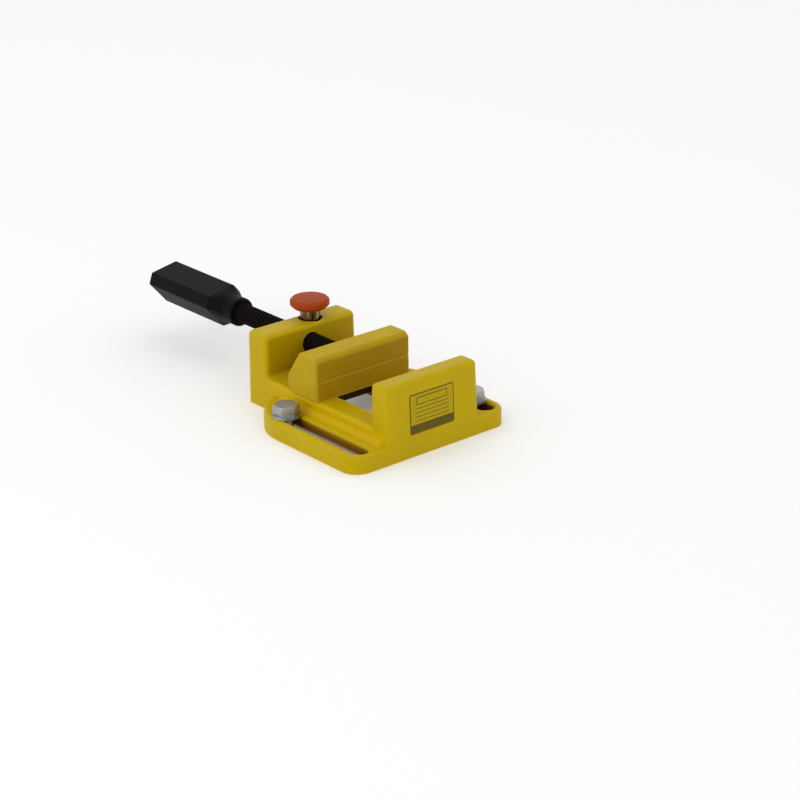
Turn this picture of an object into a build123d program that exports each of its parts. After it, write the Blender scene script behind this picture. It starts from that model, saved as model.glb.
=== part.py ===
from build123d import *
import math
import os

os.makedirs("parts", exist_ok=True)

# A drill press vise with a quick-release spindle. All sizes are in millimetres.
# +X is across the jaws, +Y runs along the spindle towards the handle, +Z is up.
# The origin is on the underside, midway between the two hold-down slots.

# Clearances
press_gap = 0.02
running_gap = 0.06
sliding_gap = 0.15
loose_gap = 0.3
stop_gap = 0.1
bed_gap = 0.05
cut_margin = 1.0

# Base casting: the flange
flange_length = 101.0
flange_height = 10.4
flange_rear_radius = 34.0
flange_edge_radius = 2.2
flange_recess_depth = 3.9
rim_width = 5.2

# Base casting: the hold-down slots
slot_length = 73.0
slot_width = 10.0
slot_setback = 3.5
slot_edge_break = 1.2

# Base casting: the body above the flange
body_width = 65.8
body_edge_radius = 2.4
side_draft_angle = 1.1
front_draft_angle = 2.1
fixed_jaw_height = 43.5
fixed_jaw_thickness = 13.9
bed_height = 18.3
block_thickness = 17.0
block_top_radius = 3.2
body_foot_radius = 3.6
foot_overlap = 1.5
wall_foot_radius = 2.5
jaw_top_radius = 2.9
opening_corner_radius = 3.0

# Base casting: the opening between the bed rails and the channel below them
opening_width = 39.1
opening_end_wall = 3.6
rail_thickness = 6.0
channel_width = 48.0
core_wall = 3.9
core_roof = 5.5
core_corner_share = 0.3
core_draft_angle = 1.2
rib_thickness = 3.0
core_gap = 1.2

# Jaws
jaw_width = 65.4
jaw_opening = 65.0
rest_opening = 44.6
moving_jaw_height = 43.3
moving_jaw_depth = 26.3
moving_jaw_top_depth = 15.3
moving_jaw_heel_height = 27.5
moving_jaw_chamfer_depth = 3.0
moving_jaw_chamfer_height = 2.4
moving_jaw_edge_radius = 1.0
groove_height = 30.1
groove_width = 2.6
groove_depth = 0.8

# Guide key and retainer plate under the moving jaw
key_length = 12.4
key_setback = 9.7
retainer_width = 47.0
retainer_thickness = 2.6
retainer_screw_radius = 2.5
retainer_screw_head_radius = 4.6
retainer_screw_spacing = 26.0
retainer_screw_bite = 9.0
screw_socket_radius = 1.7
screw_socket_depth = 1.2

# Spindle
spindle_height = 32.2
spindle_radius = 5.85
spindle_bore_radius = 6.2
journal_radius = 4.4
journal_length = 12.5
journal_groove_radius = 3.0
journal_groove_width = 3.2
journal_groove_setback = 7.0
thread_socket_depth = 8.8
thrust_washer_thickness = 1.0
spindle_pin_radius = 1.5
spindle_chamfer = 0.8

# Handle
rod_to_ferrule = 86.1
ferrule_radius = 8.6
ferrule_length = 8.0
ferrule_edge_radius = 1.4
grip_taper_length = 10.2
grip_length = 59.9
grip_long_side = 18.5
grip_short_side = 7.1
grip_turn = 10.6
grip_neck_radius = 8.0
grip_edge_radius = 1.4
grip_end_chamfer = 1.0
tang_length = 30.0
handle_pin_radius = 1.5
handle_pin_inset = 0.15
handle_pin_angle = 33.0

# Quick release
release_offset = 6.2
release_pin_radius = 5.7
release_travel = 4.5
release_mouth_radius = 7.0
release_mouth_depth = 2.5
release_pin_foot = 16.0
release_foot_chamfer = 0.5
knob_radius = 11.3
knob_thickness = 5.7
knob_crown = 0.4
knob_top_break = 1.2
knob_foot_break = 2.0
knob_edge_radius = 0.8
knob_height = 49.7
knob_spigot_radius = 3.0
knob_spigot_length = 3.2
spring_wire_radius = 0.55
spring_coil_radius = 4.6
spring_turns = 5
cover_length = 27.0
cover_width = 13.0
cover_thickness = 2.0
cover_recess_depth = 2.6
cover_screw_spacing = 19.0
cover_screw_radius = 1.5
cover_screw_head_radius = 2.8
cover_screw_socket_radius = 1.1
cover_screw_socket_depth = 0.7
cover_screw_bite = 7.0

# Hold-down bolts
bolt_radius = 4.0
bolt_head_width = 13.0
bolt_head_height = 5.3
bolt_tip_gap = 0.5
bolt_tip_chamfer = 0.6
bolt_head_chamfer = 0.8
bolt_corner_angle = 35.0
bolt_head_turn = 30.0
right_bolt_turn = 28.0
right_bolt_offset = 10.7
washer_radius = 8.0
washer_hole_radius = 4.2
washer_thickness = 1.6
washer_gap = 0.7

# Places that follow from the sizes above
front_face = -(slot_setback + slot_length / 2)
flange_middle = front_face + flange_length / 2
side_slope = math.tan(math.radians(side_draft_angle))
front_slope = math.tan(math.radians(front_draft_angle))
jaw_lean = (fixed_jaw_height - flange_height) * front_slope
body_foot_lean = flange_height * front_slope
foot_root = body_width / 2 - (flange_height + body_foot_radius) * side_slope
foot_side = foot_root + body_foot_radius
slot_offset = foot_side + washer_gap + washer_radius
flange_front_radius = slot_width / 2 + rim_width
flange_width = 2 * (slot_offset + flange_front_radius)
rear_arc_x = flange_width / 2 - flange_rear_radius
rear_arc_y = front_face + flange_length - flange_rear_radius
foot_pivot = foot_root - foot_overlap
foot_reach = foot_overlap + body_foot_radius
foot_limit = rear_arc_y + math.sqrt(flange_rear_radius**2 - (foot_side - rear_arc_x) ** 2)
foot_front = front_face + flange_edge_radius + foot_reach
foot_rear = foot_limit - flange_edge_radius - foot_reach
jaw_face = front_face + fixed_jaw_thickness
block_front = jaw_face + jaw_opening + moving_jaw_depth
block_rear = block_front + block_thickness
block_middle = (block_front + block_rear) / 2
rail_underside = bed_height - rail_thickness
opening_front = jaw_face + opening_end_wall
opening_rear = block_front - opening_end_wall
opening_length = opening_rear - opening_front
opening_middle = (opening_front + opening_rear) / 2
core_height = fixed_jaw_height - core_roof
core_narrowing = core_height * math.tan(math.radians(core_draft_angle))
core_side = body_width / 2 - core_wall
rest_face = jaw_face + rest_opening
rest_heel = rest_face + moving_jaw_depth
jaw_base = bed_height + bed_gap
retainer_top = rail_underside - sliding_gap
retainer_bottom = retainer_top - retainer_thickness
key_middle = rest_face + key_setback + key_length / 2
key_corner_radius = opening_corner_radius - sliding_gap
heel_relief = wall_foot_radius + loose_gap
shoulder = rest_heel - thread_socket_depth
journal_front = shoulder - journal_length
journal_groove = journal_front + journal_groove_setback
ferrule_front = rest_heel + rod_to_ferrule
ferrule_rear = ferrule_front + ferrule_length
grip_front = ferrule_rear + grip_taper_length
grip_rear = grip_front + grip_length
spindle_axis = Axis((0, 0, spindle_height), (0, 1, 0))
thrust_face = shoulder - thrust_washer_thickness - running_gap
release_bore_radius = release_pin_radius + running_gap
cover_bottom = cover_recess_depth - cover_thickness
groove_slope = groove_width / 2 / groove_depth
socket_radius = spindle_radius + sliding_gap
journal_bore_radius = journal_radius + running_gap
bore_end = journal_front - loose_gap
tang_radius = journal_radius
tang_rear = ferrule_rear + tang_length
handle_pin_plane = Plane(
    (0, (ferrule_front + ferrule_rear) / 2, spindle_height),
    x_dir=(0, 1, 0),
    z_dir=(math.sin(math.radians(handle_pin_angle)), 0, math.cos(math.radians(handle_pin_angle))),
)
spindle_pin_top = spindle_height + journal_radius
spindle_pin_offset = journal_groove_radius + spindle_pin_radius + stop_gap
spindle_pin_places = [(side * spindle_pin_offset, journal_groove) for side in (-1, 1)]
retainer_screw_places = [(side * retainer_screw_spacing / 2, key_middle) for side in (-1, 1)]
retainer_screw_length = jaw_base + retainer_screw_bite - loose_gap - retainer_bottom
washer_top = flange_height + washer_thickness
bolt_length = washer_top + bolt_head_height - bolt_tip_gap
bolt_corner_radius = bolt_head_width / math.sqrt(3)
bolt_corner_slope = math.tan(math.radians(bolt_corner_angle))
left_bolt_place = (slot_length - slot_width) / 2 - loose_gap
right_bolt_place = right_bolt_offset - left_bolt_place
left_bolt_axis = Axis((-slot_offset, left_bolt_place, 0), (0, 0, 1))
left_to_right = (2 * slot_offset, right_bolt_place - left_bolt_place)
release_stroke_end = spindle_height + release_travel
knob_top = knob_height + knob_thickness
cover_edge = release_offset + cover_length / 2
cover_screw_length = cover_recess_depth + cover_screw_bite - loose_gap - cover_bottom
spring_length = release_pin_foot - cover_recess_depth
cover_screw_places = [(release_offset + side * cover_screw_spacing / 2, block_middle) for side in (-1, 1)]


def above_the_bed(edge):
    """Tells whether an edge lies clear above the jaw's flat base."""
    return edge.center().Z > jaw_base + cut_margin


def countersunk_half(radius, head_radius, length):
    """Draws half of a countersunk screw, its flat head at the bottom."""
    Polygon(
        (0, 0),
        (head_radius, 0),
        (radius, head_radius - radius),
        (radius, length),
        (0, length),
        align=None,
    )


# Flange plate of the base casting, with a soft upper edge
with BuildPart() as flange_plate:
    with BuildSketch(Plane.XY) as flange_outline:
        with Locations((0, flange_middle)):
            Rectangle(flange_width, flange_length)
        fillet(flange_outline.vertices().group_by(Axis.Y)[0], flange_front_radius)
        fillet(flange_outline.vertices().group_by(Axis.Y)[-1], flange_rear_radius)
    extrude(amount=flange_height)
    fillet(flange_plate.faces().sort_by(Axis.Z)[-1].edges(), flange_edge_radius)

# Base casting
with BuildPart() as base_casting:
    # Body in side view: the fixed jaw, the bed and the rear block
    with BuildSketch(Plane.YZ) as body_profile:
        with BuildLine():
            Polyline(
                (front_face - body_foot_lean, 0),
                (front_face + jaw_lean, fixed_jaw_height),
                (jaw_face, fixed_jaw_height),
                (jaw_face, bed_height),
                (block_front, bed_height),
                (block_front, fixed_jaw_height),
                (block_rear, fixed_jaw_height),
                (block_rear, 0),
                close=True,
            )
        make_face()
        fillet(body_profile.vertices().group_by(Axis.Y)[1].sort_by(Axis.X)[-1], wall_foot_radius)
        fillet(body_profile.vertices().group_by(Axis.Y)[-1].sort_by(Axis.X)[:2], jaw_top_radius)
        fillet(body_profile.vertices().group_by(Axis.Y)[-1].sort_by(Axis.X)[-2:], block_top_radius)
    extrude(amount=body_width / 2, both=True)
    # Drafted sides
    with BuildSketch(Plane.XZ):
        for side in (-1, 1):
            Polygon(
                (side * body_width / 2, 0),
                (side * (body_width / 2 + cut_margin), 0),
                (side * (body_width / 2 + cut_margin), fixed_jaw_height),
                (side * (body_width / 2 - fixed_jaw_height * side_slope), fixed_jaw_height),
                align=None,
            )
    extrude(amount=block_rear + cut_margin, both=True, mode=Mode.SUBTRACT)
    # Soft edges round both sides
    for end in (0, -1):
        fillet(base_casting.faces().sort_by(Axis.X)[end].edges().sort_by(Axis.Z)[1:], body_edge_radius)
    # The front is upright as high as the flange
    with BuildSketch(Plane.XY):
        with Locations((0, front_face - cut_margin)):
            Rectangle(body_width, 2 * cut_margin)
    extrude(amount=flange_height, mode=Mode.SUBTRACT)
    add(flange_plate.part)
    # Soft feet where the body meets the flange, with rounded ends
    for side in (-1, 1):
        for place, turn in ((foot_front, -1), (foot_rear, 1)):
            with BuildSketch(Plane.XZ.offset(-place)) as foot_profile:
                with Locations((side * (foot_side - body_foot_radius / 2), flange_height + body_foot_radius / 2)):
                    Rectangle(body_foot_radius, body_foot_radius)
                with Locations((side * foot_side, flange_height + body_foot_radius)):
                    Circle(body_foot_radius, mode=Mode.SUBTRACT)
                with Locations((side * (foot_root - foot_overlap / 2), flange_height + body_foot_radius / 2)):
                    Rectangle(foot_overlap, body_foot_radius)
            revolve(axis=Axis((side * foot_pivot, place, 0), (0, 0, 1)), revolution_arc=90 * side * turn)
        extrude(foot_profile.sketch, amount=foot_rear - foot_front)
    # Hold-down slots
    with BuildSketch(Plane.XY.offset(flange_height)):
        with Locations((-slot_offset, 0), (slot_offset, 0)):
            SlotOverall(slot_length, slot_width, rotation=90)
    extrude(amount=-flange_height, mode=Mode.SUBTRACT)
    with BuildSketch(Plane.XY.offset(flange_height)):
        with Locations((-slot_offset, 0), (slot_offset, 0)):
            SlotOverall(slot_length + 2 * slot_edge_break, slot_width + 2 * slot_edge_break, rotation=90)
    extrude(amount=-slot_edge_break, taper=45, mode=Mode.SUBTRACT)
    # Opening between the rails and the channel below them
    with BuildSketch(Plane.XY.offset(bed_height)):
        with Locations((0, opening_middle)):
            RectangleRounded(opening_width, opening_length, opening_corner_radius)
    extrude(amount=-bed_height, mode=Mode.SUBTRACT)
    with BuildSketch(Plane.XY):
        with Locations((0, opening_middle)):
            RectangleRounded(channel_width, opening_length, opening_corner_radius)
    extrude(amount=rail_underside, mode=Mode.SUBTRACT)
    # Recess under the flange, between its rim and the body's skirt
    with BuildSketch(Plane.XY):
        with Locations((0, flange_middle)):
            Rectangle(flange_width, flange_length)
        fillet(vertices().group_by(Axis.Y)[0], flange_front_radius)
        fillet(vertices().group_by(Axis.Y)[-1], flange_rear_radius)
        offset(amount=-rim_width)
        with Locations((0, flange_middle)):
            Rectangle(body_width, flange_length, mode=Mode.SUBTRACT)
    extrude(amount=flange_recess_depth, mode=Mode.SUBTRACT)
    # Coring pockets under the fixed jaw and the rear block, narrower towards their roofs
    for inner, outer, middle, thickness in (
        (-core_side, -rib_thickness / 2, (front_face + jaw_face) / 2, fixed_jaw_thickness - 2 * core_wall),
        (rib_thickness / 2, core_side, (front_face + jaw_face) / 2, fixed_jaw_thickness - 2 * core_wall),
        (-core_side, -spindle_bore_radius - core_wall, block_middle, block_thickness - 2 * core_wall),
        (cover_edge + core_gap, core_side, block_middle, block_thickness - 2 * core_wall),
    ):
        for height, narrowing in ((0, 0), (core_height, core_narrowing)):
            width = outer - inner - 2 * narrowing
            with BuildSketch(Plane.XY.offset(height)):
                with Locations(((inner + outer) / 2, middle)):
                    RectangleRounded(
                        width,
                        thickness - 2 * narrowing,
                        core_corner_share * min(width, thickness - 2 * narrowing),
                    )
        loft(mode=Mode.SUBTRACT)
    # Spindle bore, release bore with its wider mouth, and the cover's recess
    with BuildSketch(Plane.XZ.offset(-block_front)):
        with Locations((0, spindle_height)):
            Circle(spindle_bore_radius)
    extrude(amount=-block_thickness, mode=Mode.SUBTRACT)
    with BuildSketch(Plane.XY):
        with Locations((release_offset, block_middle)):
            Circle(release_bore_radius)
    extrude(amount=fixed_jaw_height, mode=Mode.SUBTRACT)
    with BuildSketch(Plane.XY.offset(fixed_jaw_height)):
        with Locations((release_offset, block_middle)):
            Circle(release_mouth_radius)
    extrude(amount=-release_mouth_depth, mode=Mode.SUBTRACT)
    with BuildSketch(Plane.XY):
        with Locations((release_offset, block_middle)):
            Rectangle(cover_length + 2 * sliding_gap, cover_width + 2 * sliding_gap)
    extrude(amount=cover_recess_depth, mode=Mode.SUBTRACT)
    with BuildSketch(Plane.XY.offset(cover_recess_depth)):
        with Locations(*cover_screw_places):
            Circle(cover_screw_radius + press_gap)
    extrude(amount=cover_screw_bite, mode=Mode.SUBTRACT)
base_casting.part.label = "base_casting"
export_step(base_casting.part, "parts/base_casting.step")

# Moving jaw
with BuildPart() as moving_jaw:
    with BuildSketch(Plane.YZ) as jaw_profile:
        with BuildLine():
            Polyline(
                (rest_face, jaw_base),
                (rest_face, moving_jaw_height - moving_jaw_chamfer_height),
                (rest_face + moving_jaw_chamfer_depth, moving_jaw_height),
                (rest_face + moving_jaw_top_depth, moving_jaw_height),
                (rest_heel, moving_jaw_heel_height),
                (rest_heel, jaw_base + heel_relief),
                (rest_heel - heel_relief, jaw_base),
                close=True,
            )
        make_face()
        upper_corners = jaw_profile.vertices().group_by(Axis.Y)[2:]
        fillet(upper_corners, moving_jaw_edge_radius)
    extrude(amount=jaw_width / 2, both=True)
    fillet(moving_jaw.faces().filter_by(Axis.X).edges().filter_by(above_the_bed), moving_jaw_edge_radius / 2)
    # V groove that grips round work
    with BuildSketch(Plane.YZ):
        with BuildLine():
            Polyline(
                (rest_face - cut_margin, groove_height + groove_width / 2 + cut_margin * groove_slope),
                (rest_face + groove_depth, groove_height),
                (rest_face - cut_margin, groove_height - groove_width / 2 - cut_margin * groove_slope),
                close=True,
            )
        make_face()
    extrude(amount=jaw_width / 2, both=True, mode=Mode.SUBTRACT)
    # Socket and journal bore for the spindle
    for radius, front in ((socket_radius, thrust_face), (journal_bore_radius, bore_end)):
        with BuildSketch(Plane.XZ.offset(-rest_heel)):
            with Locations((0, spindle_height)):
                Circle(radius)
        extrude(amount=rest_heel - front, mode=Mode.SUBTRACT)
    # Holes from below for the spindle pins and the retainer's screws
    with BuildSketch(Plane.XY.offset(jaw_base)):
        with Locations(*spindle_pin_places):
            Circle(spindle_pin_radius + press_gap)
    extrude(amount=spindle_pin_top - jaw_base, mode=Mode.SUBTRACT)
    with BuildSketch(Plane.XY.offset(jaw_base)):
        with Locations(*retainer_screw_places):
            Circle(retainer_screw_radius + press_gap)
    extrude(amount=retainer_screw_bite, mode=Mode.SUBTRACT)
moving_jaw.part.label = "moving_jaw"
export_step(moving_jaw.part, "parts/moving_jaw.step")

# Guide key, which fills the opening between the rails
with BuildPart() as guide_key:
    with BuildSketch(Plane.XY.offset(retainer_top)):
        with Locations((0, key_middle)):
            RectangleRounded(opening_width - 2 * sliding_gap, key_length, key_corner_radius)
        with Locations(*retainer_screw_places):
            Circle(retainer_screw_radius + sliding_gap, mode=Mode.SUBTRACT)
    extrude(amount=jaw_base - retainer_top)
guide_key.part.label = "guide_key"
export_step(guide_key.part, "parts/guide_key.step")

# Retainer plate below the rails, with countersunk screw holes
with BuildPart() as retainer_plate:
    with BuildSketch(Plane.XY.offset(retainer_bottom)):
        with Locations((0, key_middle)):
            RectangleRounded(retainer_width, key_length, key_corner_radius)
    extrude(amount=retainer_thickness)
    with Locations(*[Location((x, y, retainer_bottom), (180, 0, 0)) for x, y in retainer_screw_places]):
        CounterSinkHole(
            retainer_screw_radius + sliding_gap,
            retainer_screw_head_radius + sliding_gap,
            counter_sink_angle=90,
        )
retainer_plate.part.label = "retainer_plate"
export_step(retainer_plate.part, "parts/retainer_plate.step")

# The retainer's countersunk screws
with BuildPart() as retainer_screws:
    for x, y in retainer_screw_places:
        with BuildSketch(Plane((x, y, retainer_bottom), x_dir=(1, 0, 0), z_dir=(0, -1, 0))):
            countersunk_half(retainer_screw_radius, retainer_screw_head_radius, retainer_screw_length)
        revolve(axis=Axis((x, y, 0), (0, 0, 1)))
    with BuildSketch(Plane.XY.offset(retainer_bottom)):
        with Locations(*retainer_screw_places):
            RegularPolygon(screw_socket_radius, 6)
    extrude(amount=screw_socket_depth, mode=Mode.SUBTRACT)
retainer_screws.part.label = "retainer_screws"
export_step(retainer_screws.part, "parts/retainer_screws.step")

# Spindle: journal with its groove, threaded length and plain tang inside the handle
with BuildPart() as spindle:
    with BuildSketch(Plane.YZ):
        with BuildLine():
            Polyline(
                (journal_front, spindle_height),
                (journal_front, spindle_height + journal_radius),
                (shoulder, spindle_height + journal_radius),
                (shoulder, spindle_height + spindle_radius),
                (ferrule_front, spindle_height + spindle_radius),
                (ferrule_front, spindle_height + tang_radius),
                (tang_rear, spindle_height + tang_radius),
                (tang_rear, spindle_height),
                close=True,
            )
        make_face()
        with Locations((journal_groove, spindle_height + journal_radius)):
            Rectangle(journal_groove_width, 2 * (journal_radius - journal_groove_radius), mode=Mode.SUBTRACT)
    revolve(axis=spindle_axis)
    chamfer(spindle.edges().filter_by(GeomType.CIRCLE).group_by(Axis.Y)[0], spindle_chamfer)
    chamfer(spindle.edges().filter_by(GeomType.CIRCLE).group_by(Axis.Y)[-1], spindle_chamfer)
    with BuildSketch(handle_pin_plane):
        Circle(handle_pin_radius)
    extrude(amount=ferrule_radius, both=True, mode=Mode.SUBTRACT)
spindle.part.label = "spindle"
export_step(spindle.part, "parts/spindle.step")

# Thrust washer between the spindle's shoulder and the jaw
with BuildPart() as thrust_washer:
    with BuildSketch(Plane.XZ.offset(-thrust_face)):
        with Locations((0, spindle_height)):
            Circle(spindle_radius)
            Circle(journal_radius + sliding_gap, mode=Mode.SUBTRACT)
    extrude(amount=-thrust_washer_thickness)
thrust_washer.part.label = "thrust_washer"
export_step(thrust_washer.part, "parts/thrust_washer.step")

# Dowel pins that stand in the jaw beside the spindle's groove
with BuildPart() as spindle_pins:
    with BuildSketch(Plane.XY.offset(jaw_base)):
        with Locations(*spindle_pin_places):
            Circle(spindle_pin_radius)
    extrude(amount=spindle_pin_top - jaw_base)
spindle_pins.part.label = "spindle_pins"
export_step(spindle_pins.part, "parts/spindle_pins.step")

# Handle ferrule
with BuildPart() as handle_ferrule:
    with BuildSketch(Plane.XZ.offset(-ferrule_front)):
        with Locations((0, spindle_height)):
            Circle(ferrule_radius)
    extrude(amount=-ferrule_length)
    fillet(handle_ferrule.edges().group_by(Axis.Y)[0], ferrule_edge_radius)
    with BuildSketch(Plane.XZ.offset(-ferrule_front)):
        with Locations((0, spindle_height)):
            Circle(tang_radius + press_gap)
    extrude(amount=-ferrule_length, mode=Mode.SUBTRACT)
    with BuildSketch(handle_pin_plane):
        Circle(handle_pin_radius)
    extrude(amount=ferrule_radius, both=True, mode=Mode.SUBTRACT)
handle_ferrule.part.label = "handle_ferrule"
export_step(handle_ferrule.part, "parts/handle_ferrule.step")

# Cross pin through ferrule and tang
with BuildPart() as handle_pin:
    with BuildSketch(handle_pin_plane):
        Circle(handle_pin_radius - press_gap)
    extrude(amount=ferrule_radius - handle_pin_inset, both=True)
handle_pin.part.label = "handle_pin"
export_step(handle_pin.part, "parts/handle_pin.step")

# Handle grip: a three-sided bar with cut corners that tapers into the ferrule
with BuildPart() as handle_grip:
    triangle_radius = (grip_long_side + 2 * grip_short_side) / math.sqrt(3)
    with BuildSketch(Plane.XZ.offset(-grip_front)) as grip_section:
        with Locations((0, spindle_height)):
            RegularPolygon(triangle_radius, 3, rotation=30 + grip_turn)
        chamfer(grip_section.vertices(), grip_short_side)
        fillet(grip_section.vertices(), grip_edge_radius)
    extrude(amount=-grip_length)
    chamfer(handle_grip.faces().sort_by(Axis.Y)[-1].edges(), grip_end_chamfer)
    add(grip_section.sketch)
    with BuildSketch(Plane.XZ.offset(-ferrule_rear)):
        with Locations((0, spindle_height)):
            Circle(grip_neck_radius)
    loft()
    with BuildSketch(Plane.XZ.offset(-ferrule_rear)):
        with Locations((0, spindle_height)):
            Circle(tang_radius + press_gap)
    extrude(amount=-(tang_length + loose_gap), mode=Mode.SUBTRACT)
handle_grip.part.label = "handle_grip"
export_step(handle_grip.part, "parts/handle_grip.step")

# Release pin: a plunger whose side notch cradles the spindle
with BuildPart() as release_pin:
    with BuildSketch(Plane.XY.offset(release_pin_foot)):
        with Locations((release_offset, block_middle)):
            Circle(release_pin_radius)
    extrude(amount=knob_height - release_pin_foot)
    chamfer(release_pin.edges().group_by(Axis.Z)[0], release_foot_chamfer)
    with BuildSketch(Plane.XY.offset(knob_height)):
        with Locations((release_offset, block_middle)):
            Circle(knob_spigot_radius)
    extrude(amount=knob_spigot_length)
    with BuildSketch(Plane.XZ.offset(-block_front)):
        with Locations((0, (spindle_height + release_stroke_end) / 2)):
            SlotCenterToCenter(release_travel, 2 * (spindle_radius + loose_gap), rotation=90)
    extrude(amount=-block_thickness, mode=Mode.SUBTRACT)
release_pin.part.label = "release_pin"
export_step(release_pin.part, "parts/release_pin.step")

# Release knob with a slightly crowned top
with BuildPart() as release_knob:
    with BuildSketch(Plane((release_offset, block_middle, 0), x_dir=(1, 0, 0), z_dir=(0, -1, 0))) as knob_profile:
        with BuildLine():
            crown = TangentArc(
                (0, knob_top + knob_crown),
                (knob_radius - knob_top_break, knob_top),
                tangent=(1, 0),
            )
            Polyline(
                crown @ 1,
                (knob_radius, knob_top - knob_top_break),
                (knob_radius, knob_height + knob_foot_break),
                (knob_radius - knob_foot_break, knob_height),
                (0, knob_height),
                crown @ 0,
            )
        make_face()
        fillet(knob_profile.vertices().group_by(Axis.X)[1:], knob_edge_radius)
    revolve(axis=Axis((release_offset, block_middle, 0), (0, 0, 1)))
    with BuildSketch(Plane.XY.offset(knob_height)):
        with Locations((release_offset, block_middle)):
            Circle(knob_spigot_radius + press_gap)
    extrude(amount=knob_spigot_length + stop_gap, mode=Mode.SUBTRACT)
release_knob.part.label = "release_knob"
export_step(release_knob.part, "parts/release_knob.step")

# Release spring, ground flat at both ends, between the cover and the pin's foot
with BuildPart() as release_spring:
    with BuildLine():
        coil = Helix(
            pitch=spring_length / spring_turns,
            height=spring_length,
            radius=spring_coil_radius,
            center=(release_offset, block_middle, cover_recess_depth),
        )
    with BuildSketch(Plane(origin=coil @ 0, z_dir=coil % 0)):
        Circle(spring_wire_radius)
    sweep(is_frenet=True)
    with BuildSketch(Plane.XY.offset(cover_recess_depth + press_gap)):
        with Locations((release_offset, block_middle)):
            Circle(release_pin_radius)
    extrude(amount=spring_length - 2 * press_gap, mode=Mode.INTERSECT)
release_spring.part.label = "release_spring"
export_step(release_spring.part, "parts/release_spring.step")

# Cover that closes the release bore from below
with BuildPart() as spring_cover:
    with BuildSketch(Plane.XY.offset(cover_bottom)):
        with Locations((release_offset, block_middle)):
            Rectangle(cover_length, cover_width)
    extrude(amount=cover_thickness)
    with Locations(*[Location((x, y, cover_bottom), (180, 0, 0)) for x, y in cover_screw_places]):
        CounterSinkHole(
            cover_screw_radius + sliding_gap,
            cover_screw_head_radius + sliding_gap,
            counter_sink_angle=90,
        )
spring_cover.part.label = "spring_cover"
export_step(spring_cover.part, "parts/spring_cover.step")

# The cover's countersunk screws
with BuildPart() as cover_screws:
    for x, y in cover_screw_places:
        with BuildSketch(Plane((x, y, cover_bottom), x_dir=(1, 0, 0), z_dir=(0, -1, 0))):
            countersunk_half(cover_screw_radius, cover_screw_head_radius, cover_screw_length)
        revolve(axis=Axis((x, y, 0), (0, 0, 1)))
    with BuildSketch(Plane.XY.offset(cover_bottom)):
        with Locations(*cover_screw_places):
            RegularPolygon(cover_screw_socket_radius, 6)
    extrude(amount=cover_screw_socket_depth, mode=Mode.SUBTRACT)
cover_screws.part.label = "cover_screws"
export_step(cover_screws.part, "parts/cover_screws.step")

# Washers on the flange, one over each slot
with BuildPart() as washer_left:
    with BuildSketch(Plane.XY.offset(flange_height)):
        with Locations((-slot_offset, left_bolt_place)):
            Circle(washer_radius)
            Circle(washer_hole_radius, mode=Mode.SUBTRACT)
    extrude(amount=washer_thickness)
washer_left.part.label = "washer_left"
export_step(washer_left.part, "parts/washer_left.step")

with BuildPart() as washer_right:
    with Locations(left_to_right):
        add(washer_left.part)
washer_right.part.label = "washer_right"
export_step(washer_right.part, "parts/washer_right.step")

# Hold-down bolts: hexagon heads, the shanks end inside the flange
with BuildPart() as hold_down_bolt_left:
    with BuildSketch(Plane.XY.offset(bolt_tip_gap)):
        with Locations((-slot_offset, left_bolt_place)):
            Circle(bolt_radius)
    extrude(amount=washer_top - bolt_tip_gap)
    chamfer(hold_down_bolt_left.edges().group_by(Axis.Z)[0], bolt_tip_chamfer)
    with BuildSketch(Plane.XY.offset(washer_top)):
        with Locations((-slot_offset, left_bolt_place)):
            RegularPolygon(bolt_head_width / 2, 6, major_radius=False, rotation=bolt_head_turn)
    extrude(amount=bolt_head_height)
    # Rounded corners of the head's top
    with BuildSketch(Plane((-slot_offset, left_bolt_place, bolt_tip_gap), x_dir=(1, 0, 0), z_dir=(0, -1, 0))):
        with BuildLine():
            Polyline(
                (0, 0),
                (bolt_corner_radius, 0),
                (bolt_corner_radius, bolt_length - bolt_head_chamfer),
                (bolt_corner_radius - bolt_head_chamfer / bolt_corner_slope, bolt_length),
                (0, bolt_length),
                close=True,
            )
        make_face()
    revolve(axis=left_bolt_axis, mode=Mode.INTERSECT)
hold_down_bolt_left.part.label = "hold_down_bolt_left"
export_step(hold_down_bolt_left.part, "parts/hold_down_bolt_left.step")

with BuildPart() as hold_down_bolt_right:
    with Locations(left_to_right):
        add(hold_down_bolt_left.part.rotate(left_bolt_axis, right_bolt_turn))
hold_down_bolt_right.part.label = "hold_down_bolt_right"
export_step(hold_down_bolt_right.part, "parts/hold_down_bolt_right.step")
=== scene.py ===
# %% [markdown]
# # A drill press vise
# This notebook dresses the solid model of a small drill press vise for a studio picture.
# The solid model gives every piece its place and size. What is added here is what the eye
# looks for: paint on cast metal, a blackened thread, zinc, bright steel and moulded plastic.

import math

import bpy
from mathutils import Matrix, Vector


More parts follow.
